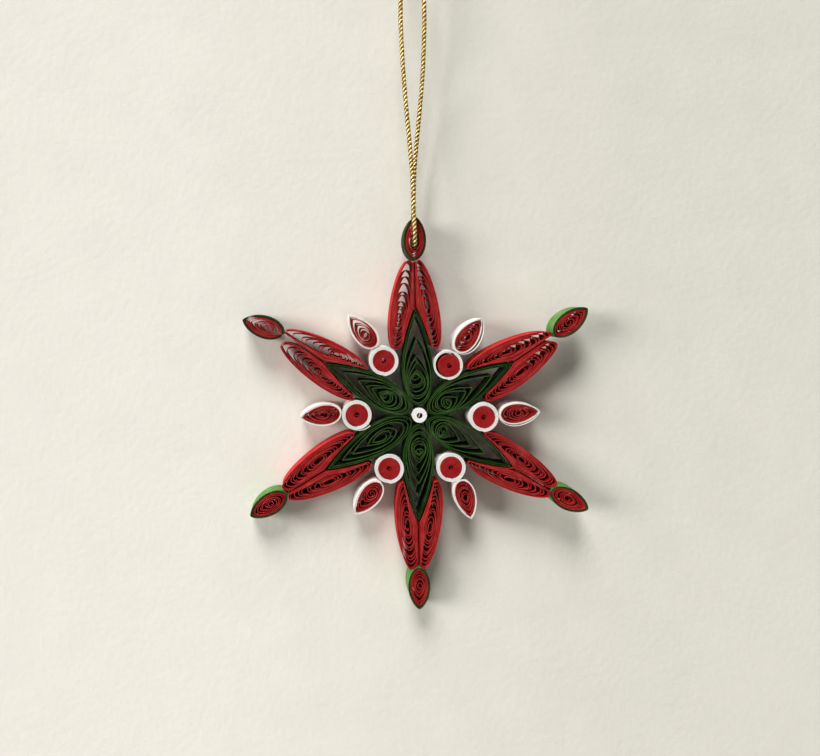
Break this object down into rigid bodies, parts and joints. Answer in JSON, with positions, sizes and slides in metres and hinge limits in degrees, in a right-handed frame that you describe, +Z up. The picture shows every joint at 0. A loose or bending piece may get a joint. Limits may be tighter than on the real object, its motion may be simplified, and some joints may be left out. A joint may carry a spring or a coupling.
{
  "type": "quilled paper snowflake ornament",
  "caption": "Flat star-shaped snowflake of rolled and pinched paper strips, glued side by side and hung on a loop of gold cord.",
  "frame": {"origin": "point where a hook bears in the top of the cord's loop, straight above the snowflake's centre and at half its thickness", "axes": "+Z up along the cord, +X to the right seen from the front, front of the snowflake facing -Y and its flat back facing +Y"},
  "size_m": [0.0868, 0.0078, 0.1746],
  "materials": {
    "red_paper": "matt coloured strip",
    "green_paper": "matt coloured strip",
    "white_paper": "matt uncoloured strip",
    "gold_cord": "braided metallic thread"
  },
  "bodies": {
    "root": {"centre_peg": "white_paper", "green_petal_1": "green_paper", "red_petal_1_right": "red_paper", "red_petal_1_left": "red_paper", "tip_core_1": "red_paper", "tip_wrap_1": "green_paper", "berry_coil_1": "red_paper", "berry_ring_1": "white_paper", "drop_core_1": "red_paper", "drop_wrap_1": "white_paper", "green_petal_2": "green_paper", "red_petal_2_right": "red_paper", "red_petal_2_left": "red_paper", "tip_core_2": "red_paper", "tip_wrap_2": "green_paper", "berry_coil_2": "red_paper", "berry_ring_2": "white_paper", "drop_core_2": "red_paper", "drop_wrap_2": "white_paper", "green_petal_3": "green_paper", "red_petal_3_right": "red_paper", "red_petal_3_left": "red_paper", "tip_core_3": "red_paper", "tip_wrap_3": "green_paper", "berry_coil_3": "red_paper", "berry_ring_3": "white_paper", "drop_core_3": "red_paper", "drop_wrap_3": "white_paper", "green_petal_4": "green_paper", "red_petal_4_right": "red_paper", "red_petal_4_left": "red_paper", "tip_core_4": "red_paper", "tip_wrap_4": "green_paper", "berry_coil_4": "red_paper", "berry_ring_4": "white_paper", "drop_core_4": "red_paper", "drop_wrap_4": "white_paper", "green_petal_5": "green_paper", "red_petal_5_right": "red_paper", "red_petal_5_left": "red_paper", "tip_core_5": "red_paper", "tip_wrap_5": "green_paper", "berry_coil_5": "red_paper", "berry_ring_5": "white_paper", "drop_core_5": "red_paper", "drop_wrap_5": "white_paper", "green_petal_6": "green_paper", "red_petal_6_right": "red_paper", "red_petal_6_left": "red_paper", "tip_core_6": "red_paper", "tip_wrap_6": "green_paper", "berry_coil_6": "red_paper", "berry_ring_6": "white_paper", "drop_core_6": "red_paper", "drop_wrap_6": "white_paper", "hanging_cord": "gold_cord", "cord_knot": "gold_cord"}
  },
  "joints": []
}
